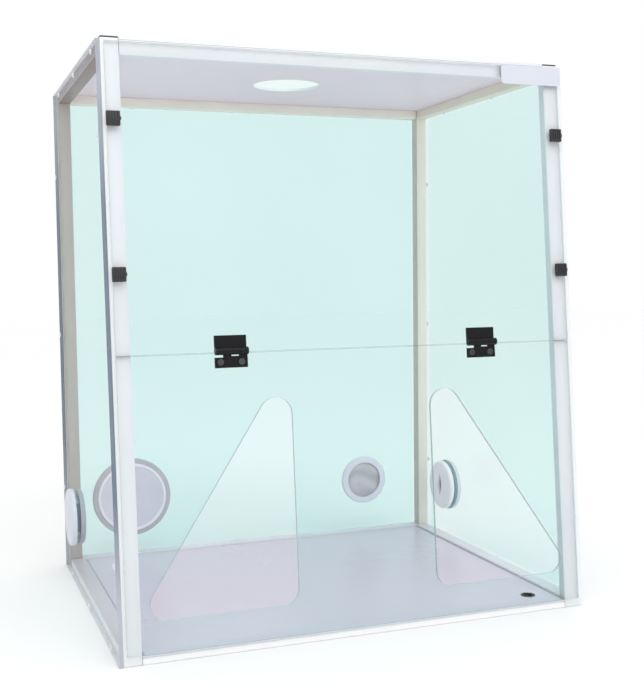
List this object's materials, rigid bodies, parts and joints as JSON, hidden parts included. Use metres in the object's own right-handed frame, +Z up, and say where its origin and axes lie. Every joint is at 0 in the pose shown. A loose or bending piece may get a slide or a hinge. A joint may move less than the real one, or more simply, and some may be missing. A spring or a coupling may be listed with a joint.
{
  "type": "laboratory glove box",
  "caption": "Clear bench enclosure on a white square-tube frame, with a hinged front sash, triangular arm openings, an exhaust hole and round wall ports.",
  "frame": {"origin": "middle of the footprint, on the surface the frame stands on", "axes": "+Z up, +X to the right seen from the front, the leaning front faces -Y"},
  "size_m": [0.7352, 0.5694, 0.837],
  "materials": {
    "frame_white": "white powder coat",
    "cap_dark": "dark plastic",
    "floor_grey": "pale glossy sheet",
    "ceiling_pale": "pale opal acrylic sheet",
    "acrylic_clear": "clear acrylic sheet",
    "black_plastic": "satin black",
    "steel_dark": "blackened",
    "port_cover": "smooth lavender grey",
    "port_window": "smoked clear",
    "port_grey": "satin grey",
    "port_white": "satin white",
    "plate": "blank satin plate",
    "grommet": "dark rubber"
  },
  "bodies": {
    "root": {"bottom_front_rail": "frame_white", "bottom_left_rail": "frame_white", "bottom_rear_rail": "frame_white", "bottom_right_rail": "frame_white", "clip_left_lower_base": "black_plastic", "clip_left_upper_base": "black_plastic", "clip_right_lower_base": "black_plastic", "clip_right_upper_base": "black_plastic", "floor_grommet": "grommet", "floor_panel": "floor_grey", "front_left_end_cap": "cap_dark", "front_left_post": "frame_white", "front_right_end_cap": "cap_dark", "front_right_post": "frame_white", "front_upper_panel": "acrylic_clear", "hinge_left_pin": "steel_dark", "hinge_left_upper_leaf": "black_plastic", "hinge_right_pin": "steel_dark", "hinge_right_upper_leaf": "black_plastic", "left_panel": "acrylic_clear", "name_plate": "plate", "port_left_cap": "port_white", "port_left_outer_disc": "port_white", "port_rear_left_collar": "port_grey", "port_rear_left_cover": "port_cover", "port_rear_left_ring": "port_grey", "port_rear_right_collar": "port_grey", "port_rear_right_cover": "port_window", "port_rear_right_ring": "port_grey", "port_right_cap": "port_white", "port_right_outer_disc": "port_white", "rear_left_end_cap": "cap_dark", "rear_left_post": "frame_white", "rear_panel": "acrylic_clear", "rear_right_end_cap": "cap_dark", "rear_right_post": "frame_white", "right_panel": "acrylic_clear", "top_front_rail": "frame_white", "top_left_rail": "frame_white", "top_panel": "ceiling_pale", "top_rear_rail": "frame_white", "top_right_rail": "frame_white"},
    "sash": {"front_sash": "acrylic_clear", "hinge_left_left_nut": "steel_dark", "hinge_left_left_screw": "steel_dark", "hinge_left_lower_leaf": "black_plastic", "hinge_left_right_nut": "steel_dark", "hinge_left_right_screw": "steel_dark", "hinge_right_left_nut": "steel_dark", "hinge_right_left_screw": "steel_dark", "hinge_right_lower_leaf": "black_plastic", "hinge_right_right_nut": "steel_dark", "hinge_right_right_screw": "steel_dark"},
    "left_lower_clip_knob": {"clip_left_lower_knob": "black_plastic"},
    "left_upper_clip_knob": {"clip_left_upper_knob": "black_plastic"},
    "right_lower_clip_knob": {"clip_right_lower_knob": "black_plastic"},
    "right_upper_clip_knob": {"clip_right_upper_knob": "black_plastic"}
  },
  "joints": [
    {"name": "sash_hinge", "type": "hinge", "parent": "root", "child": "sash", "pos_m": [0, -0.25721, 0.41329], "axis": [-1, 0, 0], "range_deg": [0, 150]},
    {"name": "left_upper_clip_turn", "type": "hinge", "parent": "root", "child": "left_upper_clip_knob", "pos_m": [-0.3397, -0.22604, 0.72558], "axis": [0, -0.9966, 0.0825], "range_deg": [0, 90]},
    {"name": "left_lower_clip_turn", "type": "hinge", "parent": "root", "child": "left_lower_clip_knob", "pos_m": [-0.3397, -0.24315, 0.51889], "axis": [0, -0.9966, 0.0825], "range_deg": [0, 90]},
    {"name": "right_upper_clip_turn", "type": "hinge", "parent": "root", "child": "right_upper_clip_knob", "pos_m": [0.3397, -0.22604, 0.72558], "axis": [0, -0.9966, 0.0825], "range_deg": [0, 90]},
    {"name": "right_lower_clip_turn", "type": "hinge", "parent": "root", "child": "right_lower_clip_knob", "pos_m": [0.3397, -0.24315, 0.51889], "axis": [0, -0.9966, 0.0825], "range_deg": [0, 90]}
  ]
}
